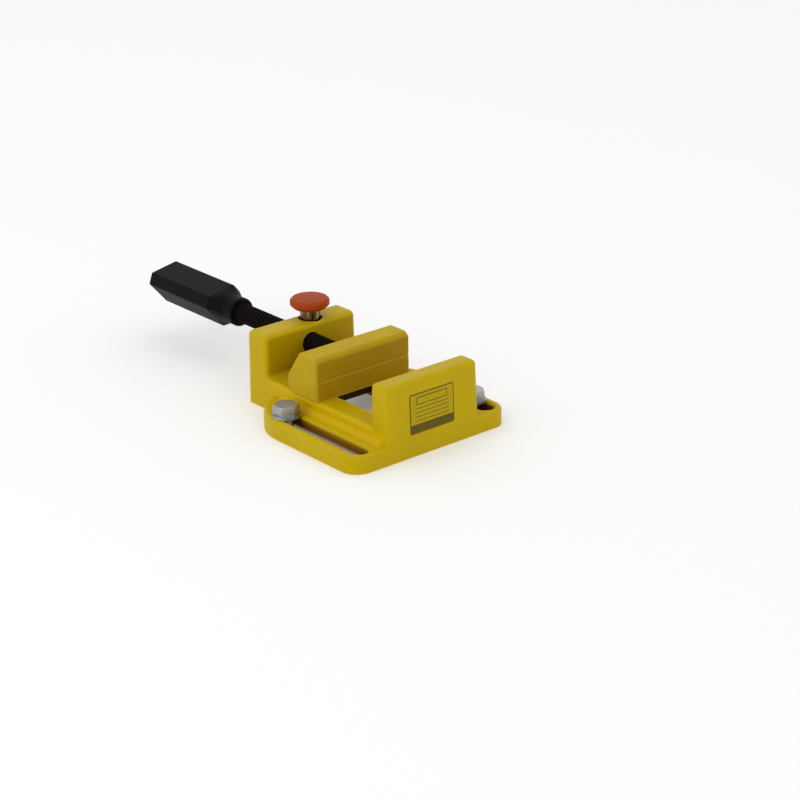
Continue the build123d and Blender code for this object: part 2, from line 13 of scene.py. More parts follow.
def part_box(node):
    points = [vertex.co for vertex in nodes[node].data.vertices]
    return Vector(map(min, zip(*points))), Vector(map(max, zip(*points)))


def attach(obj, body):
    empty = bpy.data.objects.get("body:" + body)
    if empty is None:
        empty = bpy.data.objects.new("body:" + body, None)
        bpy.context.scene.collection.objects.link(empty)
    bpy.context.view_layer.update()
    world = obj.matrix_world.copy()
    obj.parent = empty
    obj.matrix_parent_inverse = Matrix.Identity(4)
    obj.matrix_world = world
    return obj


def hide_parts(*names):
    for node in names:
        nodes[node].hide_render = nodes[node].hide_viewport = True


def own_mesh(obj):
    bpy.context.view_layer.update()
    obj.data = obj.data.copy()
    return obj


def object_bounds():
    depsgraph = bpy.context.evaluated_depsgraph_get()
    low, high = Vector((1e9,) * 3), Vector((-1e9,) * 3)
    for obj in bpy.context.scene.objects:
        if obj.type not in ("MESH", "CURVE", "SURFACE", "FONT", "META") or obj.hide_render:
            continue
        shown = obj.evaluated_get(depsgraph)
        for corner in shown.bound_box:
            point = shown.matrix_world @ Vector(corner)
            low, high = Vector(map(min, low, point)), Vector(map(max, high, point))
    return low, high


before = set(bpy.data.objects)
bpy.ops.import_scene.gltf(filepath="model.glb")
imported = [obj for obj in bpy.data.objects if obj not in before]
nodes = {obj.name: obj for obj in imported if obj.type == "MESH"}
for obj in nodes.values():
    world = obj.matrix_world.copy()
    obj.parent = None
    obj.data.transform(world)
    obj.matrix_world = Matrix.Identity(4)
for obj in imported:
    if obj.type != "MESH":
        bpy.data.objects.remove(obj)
solid_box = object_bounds()
print("solid model:", len(nodes), "nodes, box", [list(corner) for corner in solid_box])

# %% [markdown]
# ## Colours and nodes
# Colours are written as the hex values seen on a screen, and one function turns them into
# the linear values that the shader wants. A second function adds any shader node with its
# settings and its links, so that each material below reads as a list of what it is made of.

# %% Helpers for colours and shader nodes
MM = 0.001


def linear_colour(hex_value):
    channels = [int(hex_value[i : i + 2], 16) / 255 for i in (1, 3, 5)]
    return [c / 12.92 if c <= 0.04045 else ((c + 0.055) / 1.055) ** 2.4 for c in channels] + [1.0]


def add_node(tree, kind, inputs=None, **settings):
    node = tree.nodes.new(kind)
    for name, value in settings.items():
        setattr(node, name, value)
    for socket, value in (inputs or {}).items():
        if isinstance(value, bpy.types.NodeSocket):
            tree.links.new(value, node.inputs[socket])
        else:
            node.inputs[socket].default_value = value
    return node


def new_material(name):
    material = bpy.data.materials.new(name)
    material.use_nodes = True
    material.node_tree.nodes.clear()
    return material


def wavelength(millimetres):
    return 1 / (millimetres * MM)


print("a 1 mm pattern has scale", round(wavelength(1.0)))

# %% [markdown]
# ## Painted shade in hollows and paler edges
# The paint is darkened with a brown painted shade in its hollows, and its outer edges are
# mixed towards a paler yellow, a painted highlight that also stands for paint thinned there.
# Both follow the shape, so both come from the ambient occlusion node: outwards with a reach
# of 28 mm it finds the hollows, and inwards with a reach of 1.3 mm it finds the outer edges.
# Its answer is a share: of open sky outwards, where 0.16 is a deep hollow and 0.5 an open
# face, and of metal inwards, where 0.45 is an edge. A yellow ochre multiply adds painted
# shade in a region, and each paint says for itself how far that region goes.

# %% A function for painted shade in hollows and regions, and paler edges
hollow_reach, edge_reach = 28 * MM, 1.3 * MM
sky_in_hollow, sky_on_face = 0.16, 0.5
metal_at_edge, metal_in_face = 0.45, 0.95


def painted_shade_and_edges(tree, paint, painted_shade_share, break_up):
    hollows = add_node(tree, "ShaderNodeAmbientOcclusion", {"Distance": hollow_reach}, samples=8)
    open_share = add_node(
        tree,
        "ShaderNodeMapRange",
        {"Value": hollows.outputs["AO"], "From Min": sky_in_hollow, "From Max": sky_on_face},
    )
    # Hollows are mixed towards a brown: painted shade.
    painted_hollow_shade = add_node(
        tree,
        "ShaderNodeMix",
        {"Factor": open_share.outputs["Result"], 6: linear_colour("#AE7E40"), 7: linear_colour("#FFFFFF")},
        data_type="RGBA",
    )
    # The region given by each paint is multiplied by a yellow ochre: painted shade.
    painted_shade_tint = add_node(
        tree,
        "ShaderNodeMix",
        {"Factor": painted_shade_share, 6: painted_hollow_shade.outputs[2], 7: linear_colour("#E5D7AF")},
        data_type="RGBA",
        blend_type="MULTIPLY",
    )
    shaded_paint = add_node(
        tree,
        "ShaderNodeMix",
        {"Factor": 1.0, 6: paint, 7: painted_shade_tint.outputs[2]},
        data_type="RGBA",
        blend_type="MULTIPLY",
    )
    edges = add_node(
        tree, "ShaderNodeAmbientOcclusion", {"Distance": edge_reach}, samples=8, inside=True, only_local=True
    )
    edge_share = add_node(
        tree,
        "ShaderNodeMapRange",
        {"Value": edges.outputs["AO"], "From Min": metal_in_face, "From Max": metal_at_edge},
    )
    wear_and_highlight_share = add_node(
        tree, "ShaderNodeMath", {0: edge_share.outputs["Result"], 1: break_up}, operation="MULTIPLY"
    )
    # Outer edges are mixed towards a paler yellow: a painted highlight, and thinner paint as well.
    worn_and_highlit = add_node(
        tree,
        "ShaderNodeMix",
        {"Factor": wear_and_highlight_share.outputs[0], 6: shaded_paint.outputs[2], 7: linear_colour("#DCC440")},
        data_type="RGBA",
    )
    return worn_and_highlit.outputs[2]


# The hollow tint and the ochre region are painted shade. The paler edges are a painted highlight as well as
# thinner paint.
print("paint is tinted in hollows, stained where work is clamped and thinned on edges")

# %% [markdown]
# Each painted shade or painted light keeps to a region of the piece. A region is a product
# of ramps on its coordinates. Each ramp is a coordinate and two places on it in millimetres,
# where the region has ended and where it is full.

# %% A function for regions of a surface
def region(tree, ramps):
    share = None
    for value, outside, inside in ramps:
        ramp = add_node(
            tree, "ShaderNodeMapRange", {"Value": value, "From Min": outside * MM, "From Max": inside * MM}
        ).outputs["Result"]
        if share is None:
            share = ramp
        else:
            share = add_node(tree, "ShaderNodeMath", {0: share, 1: ramp}, operation="MULTIPLY").outputs[0]
    return share


print("a region fades out between two places on each coordinate")

# %% [markdown]
# ## Yellow enamel on a rough casting
# The base is cast metal under sprayed enamel. Spray leaves orange peel, a ripple about
# 1.6 mm from crest to crest, and the sand mould's grain shows through as softer lumps of
# about 4 mm. The film is thicker in some places than in others, which shifts the yellow
# and the gloss a little.
#
# Three regions differ. The bed's side walls get a purer, lighter yellow, painted light
# against the flange's shade. Painted shade darkens the room between the fixed jaw and the
# rear block, and darkens the slots towards brown, more of it lower down.

# %% Regions of the base
yellow_enamel = new_material("yellow_enamel_on_cast_iron")
tree = yellow_enamel.node_tree
place = add_node(tree, "ShaderNodeTexCoord").outputs["Object"]
axes = add_node(tree, "ShaderNodeSeparateXYZ", {"Vector": place}).outputs
slot_middle = 44.93 * MM
off_middle = add_node(tree, "ShaderNodeMath", {0: axes["X"]}, operation="ABSOLUTE").outputs[0]
off_slot = add_node(tree, "ShaderNodeMath", {0: off_middle, 1: -slot_middle}).outputs[0]
off_slot = add_node(tree, "ShaderNodeMath", {0: off_slot}, operation="ABSOLUTE").outputs[0]
along = add_node(tree, "ShaderNodeMath", {0: axes["Y"]}, operation="ABSOLUTE").outputs[0]
between_jaws = [(axes["Y"], -26.6, -25.8), (axes["Y"], 65.6, 64.9)]
# Painted shade between the fixed jaw and the rear block, above the bed.
painted_shade_share = region(tree, between_jaws + [(off_middle, 32.0, 29.0), (axes["Z"], 17.0, 22.0)])
# The bed's side walls, where painted light lifts the yellow against the flange's shade.
side_painted_light = region(
    tree,
    [
        (axes["Y"], -38.4, -37.0),
        (axes["Y"], 64.0, 46.0),
        (off_middle, 26.0, 30.0),
        (off_middle, 42.0, 38.0),
        (axes["Z"], 9.5, 12.5),
        (axes["Z"], 18.2, 16.8),
    ],
)
# The slots, where painted shade darkens the paint towards the bottom.
slot_painted_shade = region(tree, [(off_slot, 5.6, 5.2), (along, 37.6, 37.0), (axes["Z"], 9.9, 6.5)])
print("slots", round(slot_middle / MM, 2), "mm off the middle")

# %% [markdown]
# The colour starts from two yellows that a slow noise mixes, as the film's thickness would.
# The side walls' painted light is mixed in by its region, and the slots' painted shade
# multiplies what lies under it.

# %% Colour of the enamel
film = add_node(tree, "ShaderNodeTexNoise", {"Vector": place, "Scale": wavelength(22.0), "Detail": 3.0})
paint = add_node(
    tree,
    "ShaderNodeMix",
    {"Factor": film.outputs["Fac"], 6: linear_colour("#BEA202"), 7: linear_colour("#CBAE05")},
    data_type="RGBA",
)
# A lighter, purer yellow on the side walls: painted light.
paint = add_node(
    tree, "ShaderNodeMix", {"Factor": side_painted_light, 6: paint.outputs[2], 7: linear_colour("#D7B400")}, data_type="RGBA"
)
# A browner multiply in the slots: painted shade.
paint = add_node(
    tree,
    "ShaderNodeMix",
    {"Factor": slot_painted_shade, 6: paint.outputs[2], 7: linear_colour("#CBA558")},
    data_type="RGBA",
    blend_type="MULTIPLY",
)
print("two yellows, a purer run and browner slots")

# %% [markdown]
# One bump node carries the sand's lumps and passes its normal to the next, which adds the
# orange peel. The film's noise moves the roughness too.

# %% Surface of the enamel
sand = add_node(tree, "ShaderNodeTexNoise", {"Vector": place, "Scale": wavelength(4.2), "Detail": 4.0})
sand_bump = add_node(
    tree, "ShaderNodeBump", {"Height": sand.outputs["Fac"], "Strength": 0.35, "Distance": 0.25 * MM}
)
peel = add_node(tree, "ShaderNodeTexNoise", {"Vector": place, "Scale": wavelength(1.6), "Detail": 2.0})
peel_bump = add_node(
    tree,
    "ShaderNodeBump",
    {
        "Height": peel.outputs["Fac"],
        "Strength": 0.3,
        "Distance": 0.09 * MM,
        "Normal": sand_bump.outputs["Normal"],
    },
)
gloss = add_node(tree, "ShaderNodeMapRange", {"Value": film.outputs["Fac"], "To Min": 0.34, "To Max": 0.46})
shader = add_node(
    tree,
    "ShaderNodeBsdfPrincipled",
    {
        "Base Color": painted_shade_and_edges(tree, paint.outputs[2], painted_shade_share, sand.outputs["Fac"]),
        "Roughness": gloss.outputs["Result"],
        "Normal": peel_bump.outputs["Normal"],
        "IOR": 1.45,
        "Specular IOR Level": 0.11,
    },
)
add_node(tree, "ShaderNodeOutputMaterial", {"Surface": shader.outputs["BSDF"]})
print(yellow_enamel.name, "has", len(tree.nodes), "nodes")

# %% [markdown]
# ## The moving jaw's duller paint
# The moving jaw is the same yellow, sprayed thinner and flatter, and the grain of the metal
# under it still shows. So its material is rougher and a little darker, has blotches of
# about 9 mm, and adds faint file marks 0.9 mm apart that run across the vise.

# %% Thin satin enamel over filed iron
satin_enamel = new_material("satin_enamel_on_filed_iron")
tree = satin_enamel.node_tree
place = add_node(tree, "ShaderNodeTexCoord").outputs["Object"]
stretched = add_node(tree, "ShaderNodeMapping", {"Vector": place, "Scale": (0.06, 1.0, 1.0)})
streaks = add_node(
    tree,
    "ShaderNodeTexNoise",
    {"Vector": stretched.outputs["Vector"], "Scale": wavelength(0.9), "Detail": 3.0},
)
blotch = add_node(tree, "ShaderNodeTexNoise", {"Vector": place, "Scale": wavelength(9.0), "Detail": 4.0})
satin_colour = add_node(
    tree,
    "ShaderNodeMix",
    {"Factor": blotch.outputs["Fac"], 6: linear_colour("#B69A06"), 7: linear_colour("#C8AA0C")},
    data_type="RGBA",
)
print("two duller yellows with file marks")

# %% [markdown]
# The clamping face is darkened by painted shade, which fades out over the chamfer above it.
# Under the lip of the V groove six tenths of that painted shade are taken off again, a painted
# light on the groove's shaded upper flank.

# %% Painted shade on the clamping face
jaw_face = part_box("moving_jaw")[0][1] / MM
groove_middle = 30.1
axes = add_node(tree, "ShaderNodeSeparateXYZ", {"Vector": place}).outputs
# The clamping face is darkened by painted shade.
clamping_face = region(tree, [(axes["Y"], jaw_face + 3.0, jaw_face + 0.2)])
lip = groove_middle + 1.3
# Under the groove's lip part of that painted shade is taken off: painted light.
under_lip = region(tree, [(axes["Z"], groove_middle - 0.1, groove_middle + 0.1), (axes["Z"], lip + 0.2, lip)])
shade_taken_under_lip = 0.6
painted_light_under_lip = add_node(
    tree, "ShaderNodeMath", {0: under_lip, 1: -shade_taken_under_lip, 2: 1.0}, operation="MULTIPLY_ADD"
)
painted_shade_share = add_node(tree, "ShaderNodeMath", {0: clamping_face, 1: painted_light_under_lip.outputs[0]}, operation="MULTIPLY")
print("clamping face at", round(jaw_face, 1), "mm, lip of its groove at", lip, "mm")

# %% [markdown]
# The file marks give the finer bump and the blotches the slower one. The paint is thin and
# flat, and its roughness is the same all over.

# %% Surface of the satin enamel
streak_bump = add_node(
    tree, "ShaderNodeBump", {"Height": streaks.outputs["Fac"], "Strength": 0.4, "Distance": 0.12 * MM}
)
blotch_bump = add_node(
    tree,
    "ShaderNodeBump",
    {
        "Height": blotch.outputs["Fac"],
        "Strength": 0.3,
        "Distance": 0.3 * MM,
        "Normal": streak_bump.outputs["Normal"],
    },
)
shader = add_node(
    tree,
    "ShaderNodeBsdfPrincipled",
    {
        "Base Color": painted_shade_and_edges(tree, satin_colour.outputs[2], painted_shade_share.outputs[0], blotch.outputs["Fac"]),
        "Roughness": 0.55,
        "Normal": blotch_bump.outputs["Normal"],
        "IOR": 1.45,
        "Specular IOR Level": 0.16,
    },
)
add_node(tree, "ShaderNodeOutputMaterial", {"Surface": shader.outputs["BSDF"]})
print(satin_enamel.name, "has", len(tree.nodes), "nodes")

# %% [markdown]
# ## Black moulded plastic
# The grip and ferrule are moulded in black plastic with a fine spark-eroded texture. The
# real grit is about 0.1 mm, too fine for the picture, so it is drawn at 0.5 mm. The
# texture scatters light, which lifts the black to a charcoal on the faces that see the sky.

# %% Black moulded plastic
black_plastic = new_material("black_moulded_plastic")
tree = black_plastic.node_tree
place = add_node(tree, "ShaderNodeTexCoord").outputs["Object"]
grit = add_node(tree, "ShaderNodeTexNoise", {"Vector": place, "Scale": wavelength(0.5), "Detail": 3.0})
cloud = add_node(tree, "ShaderNodeTexNoise", {"Vector": place, "Scale": wavelength(14.0), "Detail": 2.0})
black_colour = add_node(
    tree,
    "ShaderNodeMix",
    {"Factor": cloud.outputs["Fac"], 6: linear_colour("#030303"), 7: linear_colour("#080808")},
    data_type="RGBA",
)
grit_bump = add_node(
    tree, "ShaderNodeBump", {"Height": grit.outputs["Fac"], "Strength": 0.35, "Distance": 0.06 * MM}
)
sheen = add_node(tree, "ShaderNodeMapRange", {"Value": cloud.outputs["Fac"], "To Min": 0.46, "To Max": 0.58})
shader = add_node(
    tree,
    "ShaderNodeBsdfPrincipled",
    {
        "Base Color": black_colour.outputs[2],
        "Roughness": sheen.outputs["Result"],
        "Normal": grit_bump.outputs["Normal"],
        "IOR": 1.46,
        "Specular IOR Level": 0.08,
    },
)
add_node(tree, "ShaderNodeOutputMaterial", {"Surface": shader.outputs["BSDF"]})
print(black_plastic.name, "has", len(tree.nodes), "nodes")

# %% [markdown]
# ## Metals
# Five finishes of steel share one recipe: a colour that varies a little, a roughness, and a
# fine grain in the bump. They differ in numbers only, so a loop makes them. The spindle's
# black oxide is a dry film that hides the metal, so it isn't metallic and the thread shows
# only faintly. The guide key and its plate are browned by oil, zinc is pale and softly
# mottled, the release pin is ground bright and the spring is drawn wire. Each line gives the
# two colours, how metallic the finish is, its specular level and roughness, and the grain's
# width and height in millimetres.

# %% Steel finishes
steels = {}
for name, dark, light, metallic, specular, roughness, grain, bump in (
    ("black_oxide_steel", "#14100E", "#1B1614", 0.0, 0.03, 0.6, 0.9, 0.06),
    ("oil_browned_steel", "#33230F", "#493319", 1.0, 0.5, 0.5, 0.9, 0.06),
    ("zinc_plated_steel", "#929497", "#BCBCBB", 1.0, 0.5, 0.4, 1.4, 0.05),
    ("ground_bright_steel", "#6A6058", "#938A80", 1.0, 0.5, 0.16, 0.7, 0.02),
    ("drawn_spring_steel", "#6E6F72", "#8D8E90", 1.0, 0.5, 0.28, 0.8, 0.03),
):
    steel = new_material(name)
    tree = steel.node_tree
    place = add_node(tree, "ShaderNodeTexCoord").outputs["Object"]
    mottle = add_node(tree, "ShaderNodeTexNoise", {"Vector": place, "Scale": wavelength(3.0), "Detail": 5.0})
    grains = add_node(
        tree, "ShaderNodeTexNoise", {"Vector": place, "Scale": wavelength(grain), "Detail": 2.0}
    )
    colour = add_node(
        tree,
        "ShaderNodeMix",
        {"Factor": mottle.outputs["Fac"], 6: linear_colour(dark), 7: linear_colour(light)},
        data_type="RGBA",
    )
    spread = add_node(
        tree,
        "ShaderNodeMapRange",
        {"Value": mottle.outputs["Fac"], "To Min": roughness * 0.8, "To Max": roughness * 1.25},
    )
    relief = add_node(
        tree, "ShaderNodeBump", {"Height": grains.outputs["Fac"], "Strength": 0.4, "Distance": bump * MM}
    )
    shader = add_node(
        tree,
        "ShaderNodeBsdfPrincipled",
        {
            "Base Color": colour.outputs[2],
            "Metallic": metallic,
            "Specular IOR Level": specular,
            "Roughness": spread.outputs["Result"],
            "Normal": relief.outputs["Normal"],
        },
    )
    add_node(tree, "ShaderNodeOutputMaterial", {"Surface": shader.outputs["BSDF"]})
    steels[name] = steel
print("steels:", ", ".join(steels))

# %% [markdown]
# ## The orange-red knob
# The knob is moulded plastic, coloured right through, so it has no film and no wear to a
# second colour. Handling has polished it unevenly, which shows in its roughness.

# %% Orange-red plastic
red_plastic = new_material("orange_red_moulded_plastic")
tree = red_plastic.node_tree
place = add_node(tree, "ShaderNodeTexCoord").outputs["Object"]
swirl = add_node(tree, "ShaderNodeTexNoise", {"Vector": place, "Scale": wavelength(6.0), "Detail": 4.0})
red_colour = add_node(
    tree,
    "ShaderNodeMix",
    {"Factor": swirl.outputs["Fac"], 6: linear_colour("#A03E12"), 7: linear_colour("#AC481A")},
    data_type="RGBA",
)
red_bump = add_node(
    tree, "ShaderNodeBump", {"Height": swirl.outputs["Fac"], "Strength": 0.25, "Distance": 0.08 * MM}
)
polish = add_node(tree, "ShaderNodeMapRange", {"Value": swirl.outputs["Fac"], "To Min": 0.36, "To Max": 0.5})
shader = add_node(
    tree,
    "ShaderNodeBsdfPrincipled",
    {
        "Base Color": red_colour.outputs[2],
        "Roughness": polish.outputs["Result"],
        "Normal": red_bump.outputs["Normal"],
        "IOR": 1.49,
        "Specular IOR Level": 0.06,
    },
)
add_node(tree, "ShaderNodeOutputMaterial", {"Surface": shader.outputs["BSDF"]})
print(red_plastic.name, "has", len(tree.nodes), "nodes")

# %% [markdown]
# ## Giving each solid its finish
# Every node of the solid model is listed once with the material it is made of.

# %% Dress the solids
finish_of_node = {
    "base_casting": yellow_enamel,
    "moving_jaw": satin_enamel,
    "guide_key": steels["oil_browned_steel"],
    "retainer_plate": steels["oil_browned_steel"],
    "retainer_screws": steels["black_oxide_steel"],
    "thrust_washer": steels["ground_bright_steel"],
    "spindle_pins": steels["ground_bright_steel"],
    "spindle": steels["black_oxide_steel"],
    "handle_ferrule": black_plastic,
    "handle_grip": black_plastic,
    "handle_pin": steels["black_oxide_steel"],
    "release_pin": steels["ground_bright_steel"],
    "release_knob": red_plastic,
    "release_spring": steels["drawn_spring_steel"],
    "spring_cover": steels["zinc_plated_steel"],
    "cover_screws": steels["zinc_plated_steel"],
    "hold_down_bolt_left": steels["zinc_plated_steel"],
    "hold_down_bolt_right": steels["zinc_plated_steel"],
    "washer_left": steels["zinc_plated_steel"],
    "washer_right": steels["zinc_plated_steel"],
}
for node_name, material in finish_of_node.items():
    mesh = nodes[node_name].data
    mesh.materials.clear()
    mesh.materials.append(material)
print("dressed", len(finish_of_node), "of", len(nodes), "nodes")

# %% [markdown]
# ## Turned pieces
# Anything turned on a lathe is drawn as half of its outline, a chain of edges beside the
# spindle's axis, and wound round that axis by the Screw modifier. With a pitch the same
# modifier winds a thread. A wound piece is longer than it should be, and a third function
# cuts it flat at both ends of its length.

# %% A function for turned pieces
axis_height = (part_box("spindle")[0][2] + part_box("spindle")[1][2]) / 2


def turned(name, outline, steps, pitch=0.0, turns=1):
    bpy.ops.object.select_all(action="DESELECT")
    bpy.ops.mesh.primitive_plane_add(size=MM)
    piece = bpy.context.object
    piece.name = name
    bpy.ops.object.mode_set(mode="EDIT")
    bpy.ops.mesh.select_all(action="SELECT")
    bpy.ops.mesh.merge(type="CENTER")
    bpy.ops.transform.translate(value=(outline[0][1], outline[0][0], 0))
    for (y_before, r_before), (y, r) in zip(outline, outline[1:]):
        bpy.ops.mesh.extrude_region_move(TRANSFORM_OT_translate={"value": (r - r_before, y - y_before, 0)})
    bpy.ops.object.mode_set(mode="OBJECT")
    winding = piece.modifiers.new("winding", "SCREW")
    winding.axis = "Y"
    winding.screw_offset = pitch
    winding.iterations = turns
    winding.steps = winding.render_steps = steps
    bpy.ops.object.modifier_apply(modifier=winding.name)
    bpy.ops.object.mode_set(mode="EDIT")
    bpy.ops.mesh.select_all(action="SELECT")
    bpy.ops.mesh.remove_doubles(threshold=0.001 * MM)
    bpy.ops.transform.translate(value=(0, 0, axis_height))
    bpy.ops.mesh.normals_make_consistent(inside=False)
    bpy.ops.object.mode_set(mode="OBJECT")
    return piece


def combine(piece, tool, operation):
    bpy.context.view_layer.objects.active = piece
    boolean = piece.modifiers.new(operation.lower(), "BOOLEAN")
    boolean.operation = operation
    boolean.solver = "EXACT"
    boolean.object = tool
    bpy.ops.object.modifier_apply(modifier=boolean.name)
    bpy.data.objects.remove(tool, do_unlink=True)


def cut_to_length(normal, low, high):
    for cut, keeps_above in ((low, True), (high, False)):
        bpy.ops.mesh.select_all(action="SELECT")
        bpy.ops.mesh.bisect(
            plane_co=cut * normal,
            plane_no=normal,
            use_fill=True,
            clear_inner=keeps_above,
            clear_outer=not keeps_above,
            threshold=0.001 * MM,
        )
    bpy.ops.mesh.select_all(action="SELECT")
    bpy.ops.mesh.normals_make_consistent(inside=False)


print("spindle axis", round(axis_height / MM, 2), "mm high")

# %% [markdown]
# ## The spindle's thread
# The solid model's spindle is a smooth bar of the thread's outer diameter. The eye expects
# the ribs of a screw there. A vise screw has a trapezoidal thread, here of 12 mm diameter
# and 3 mm pitch, which is stronger and easier to free than a pointed one. One pitch of its
# outline is a flat root, a flank at 15 degrees, a crest that is flat for 0.366 of the pitch
# and the flank down. A clean one is 1.75 mm deep. Here old grease fills its roots, so that
# 1 mm is left to see.

# %% Thread
pitch = 3.0 * MM
crest = (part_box("spindle")[1][0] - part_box("spindle")[0][0]) / 2
depth = 1.0 * MM
socket_depth = 8.8 * MM
root = crest - depth
flank = depth * math.tan(math.radians(15))
crest_flat = 0.366 * pitch
root_flat = pitch - 2 * flank - crest_flat
thread_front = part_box("moving_jaw")[1][1] - socket_depth
thread_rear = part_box("handle_ferrule")[0][1]
turns = math.ceil((thread_rear - thread_front) / pitch) + 2
start = thread_front - pitch
one_pitch = [
    (start, root),
    (start + root_flat, root),
    (start + root_flat + flank, crest),
    (start + root_flat + flank + crest_flat, crest),
    (start + pitch, root),
]
spindle_thread = turned("spindle_thread", one_pitch, steps=32, pitch=pitch, turns=turns)
bpy.ops.object.mode_set(mode="EDIT")
cut_to_length(Vector((0, 1, 0)), thread_front, thread_rear)
bpy.ops.object.mode_set(mode="OBJECT")
print("thread:", turns, "turns,", len(spindle_thread.data.polygons), "faces")

# %% [markdown]
# The ends of the spindle are plain. In front is the journal with the groove that its two
# pins run in, and behind is the tang that the ferrule and the grip are pressed on. Between
# them the bar is thinner than the thread's root, so that only the thread shows. A cross
# hole takes the handle's pin.

# %% Journal, tang and cross hole
journal_front, tang_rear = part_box("spindle")[0][1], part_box("spindle")[1][1]
journal_radius, groove_radius, core_radius, chamfer = 4.4 * MM, 3.0 * MM, 3.6 * MM, 0.8 * MM
groove_setback, groove_width = 7.0 * MM, 3.2 * MM
groove_front = journal_front + groove_setback - groove_width / 2
groove_rear = groove_front + groove_width
bar_outline = [
    (journal_front, 0),
    (journal_front, journal_radius - chamfer),
    (journal_front + chamfer, journal_radius),
    (groove_front, journal_radius),
    (groove_front, groove_radius),
    (groove_rear, groove_radius),
    (groove_rear, journal_radius),
    (thread_front + chamfer, journal_radius),
    (thread_front + 2 * chamfer, core_radius),
    (thread_rear - 2 * chamfer, core_radius),
    (thread_rear - chamfer, journal_radius),
    (tang_rear - chamfer, journal_radius),
    (tang_rear, journal_radius - chamfer),
    (tang_rear, 0),
]
bar = turned("plain_bar", bar_outline, steps=40)
combine(spindle_thread, bar, "UNION")
pin_low, pin_high = (Vector(corner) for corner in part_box("handle_pin"))
pin_radius, pin_angle = 1.5 * MM, math.radians(33)
drill_length = 20 * MM
bpy.ops.mesh.primitive_cylinder_add(
    vertices=24,
    radius=pin_radius,
    depth=drill_length,
    location=(pin_low + pin_high) / 2,
    rotation=(0, pin_angle, 0),
)
combine(spindle_thread, bpy.context.object, "DIFFERENCE")
print("cross hole", pin_radius / MM, "mm in radius")

# %% [markdown]
# The finished bar takes the black oxide. It rides on the screw's body and stands in for the
# smooth spindle of the solid model.

# %% Finish of the spindle
spindle_thread.data.materials.clear()
spindle_thread.data.materials.append(steels["black_oxide_steel"])
bpy.ops.object.select_all(action="DESELECT")
spindle_thread.select_set(True)
bpy.context.view_layer.objects.active = spindle_thread
bpy.ops.object.shade_smooth_by_angle(angle=math.radians(32))
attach(spindle_thread, "screw")
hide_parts("spindle")
print("spindle with its ends:", len(spindle_thread.data.polygons), "faces")

# %% [markdown]
# ## The release spring
# A coil spring under the release pin pushes it up. The Screw modifier winds it from a round
# wire, and both of its ends are ground flat, as on a real one. This coil takes the place of
# the solid model's spring, a stiff solid that can't shorten when the knob is pressed.

# %% Spring
spring_low, spring_high = (Vector(corner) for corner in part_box("release_spring"))
spring_length = spring_high.z - spring_low.z
wire_radius, coils = 0.55 * MM, 5
coil_radius = (spring_high.x - spring_low.x) / 2 - wire_radius
bpy.ops.object.select_all(action="DESELECT")
bpy.ops.mesh.primitive_circle_add(vertices=16, radius=wire_radius)
spring = bpy.context.object
spring.name = "coil_spring"
bpy.ops.object.mode_set(mode="EDIT")
bpy.ops.mesh.select_all(action="SELECT")
bpy.ops.transform.rotate(value=math.radians(90), orient_axis="X", center_override=(0, 0, 0))
bpy.ops.transform.translate(value=(coil_radius, 0, 0))
bpy.ops.object.mode_set(mode="OBJECT")
winding = spring.modifiers.new("winding", "SCREW")
winding.axis = "Z"
winding.screw_offset = spring_length / coils
winding.iterations = coils
winding.steps = winding.render_steps = 40
bpy.ops.object.modifier_apply(modifier=winding.name)
bpy.ops.object.mode_set(mode="EDIT")
bpy.ops.mesh.select_all(action="SELECT")
bpy.ops.mesh.fill_holes(sides=0)
cut_to_length(Vector((0, 0, 1)), 0, spring_length)
bpy.ops.object.mode_set(mode="OBJECT")
print("spring", round(spring_length / MM, 2), "mm long,", len(spring.data.polygons), "faces")

# %% [markdown]
# The coil was wound at the origin. It is moved to its place, and its mesh is asked for edges
# that don't join two faces, because a closed piece has none.

# %% Place of the spring
spring_middle = (spring_low + spring_high) / 2
bpy.ops.object.mode_set(mode="EDIT")
bpy.ops.mesh.select_all(action="SELECT")
bpy.ops.transform.translate(value=(spring_middle.x, spring_middle.y, spring_low.z))
bpy.ops.mesh.select_all(action="DESELECT")
bpy.ops.mesh.select_mode(type="EDGE")
bpy.ops.mesh.select_non_manifold()
bpy.ops.object.mode_set(mode="OBJECT")
print("open edges of the spring:", sum(edge.select for edge in spring.data.edges))
spring.data.materials.append(steels["drawn_spring_steel"])
bpy.ops.object.shade_smooth_by_angle(angle=math.radians(40))
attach(spring, "base")
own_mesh(spring)
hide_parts("release_spring")

# %% [markdown]
# ## The blank label
# The outer face of the fixed jaw carries a printed foil label. It is a dark foil 31 mm wide
# and 22.5 mm high, and its yellow field leaves a thin dark frame and a dark band below. It
# bears no words, only an empty title box and four ruled lines for the owner to write on. The
# jaw's face leans back by its draft of 2.1 degrees, and so does the label. Every layer of
# print is a thin plate with its corners rounded, laid on the layer below it.

# %% A function for a layer of the label
draft = math.radians(2.1)
jaw_front, jaw_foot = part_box("base_casting")[0][1], 10.4 * MM
label_middle = (-0.8 * MM, 24.3 * MM)


